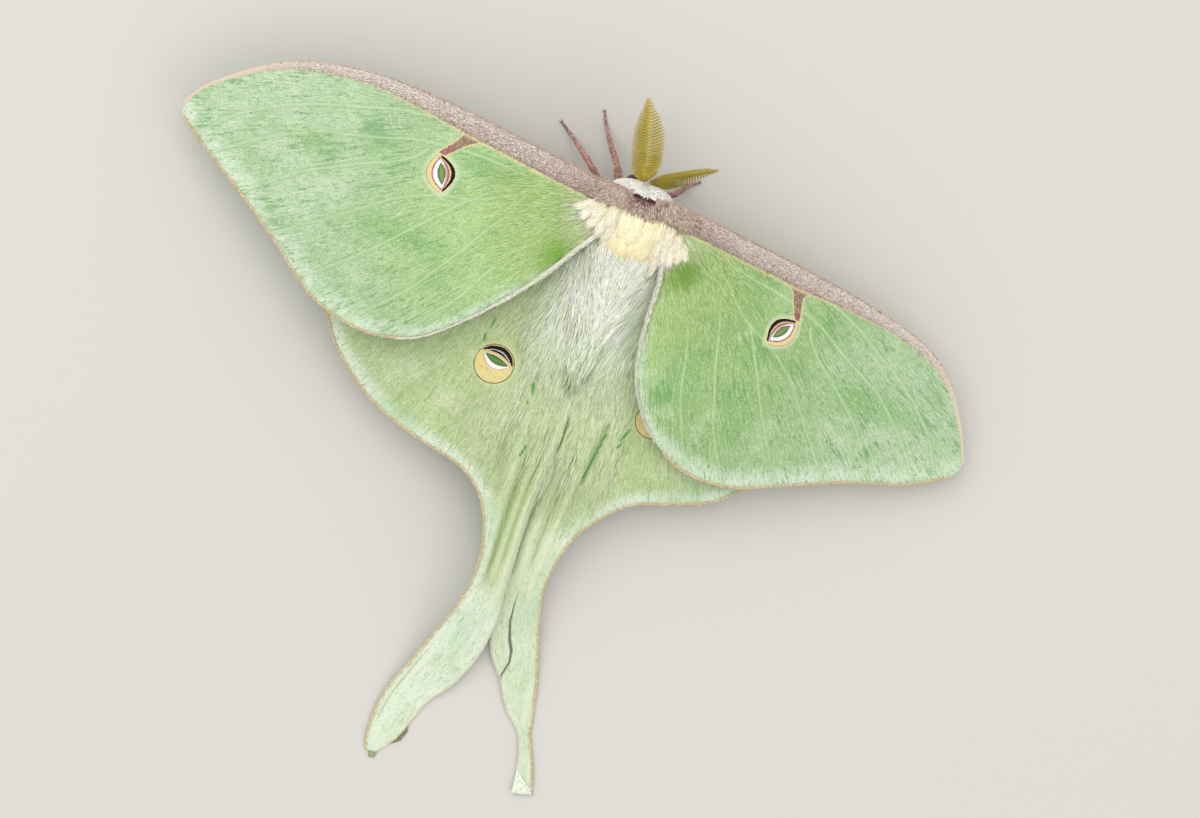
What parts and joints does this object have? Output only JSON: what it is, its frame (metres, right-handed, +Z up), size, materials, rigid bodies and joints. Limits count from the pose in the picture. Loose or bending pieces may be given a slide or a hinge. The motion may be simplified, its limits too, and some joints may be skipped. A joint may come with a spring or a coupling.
{
  "type": "luna moth",
  "caption": "Still life-size luna moth resting with its pale green wings spread, feathery antennae and two long twisted hindwing tails.",
  "frame": {"origin": "middle of the footprint, on the floor that the feet and the tail ends rest on", "axes": "+Z up, head towards -Y, tails towards +Y, the moth's own left side towards +X"},
  "size_m": [0.1028, 0.0846, 0.0136],
  "materials": {
    "crest": "soft fur, white",
    "head": "soft fur, cream white",
    "collar": "dense short fur, mauve brown with white scales",
    "thorax": "long woolly tufts, cream yellow",
    "abdomen": "long silky hair, white",
    "eye": "glossy faceted shell, black",
    "antenna": "ochre yellow combs",
    "palp": "short fur, pink",
    "forewing": "fine scales, pale yellow green",
    "hindwing": "fine scales and long hair, pale green",
    "tail": "fine scales, whitish green",
    "leg": "short scales, pink brown"
  },
  "bodies": {
    "root": {"crest": "crest", "collar": "collar", "thorax": "thorax", "abdomen": "abdomen", "head": "head", "eye_left": "eye", "eye_right": "eye", "palp_left": "palp", "palp_right": "palp", "antenna_left": "antenna", "antenna_right": "antenna", "forewing_left": "forewing", "forewing_right": "forewing", "hindwing_left": "hindwing", "hindwing_right": "hindwing", "tail_left": "tail", "tail_right": "tail", "foreleg_left": "leg", "foreleg_right": "leg", "midleg_left": "leg", "midleg_right": "leg", "hindleg_left": "leg", "hindleg_right": "leg"}
  },
  "joints": []
}
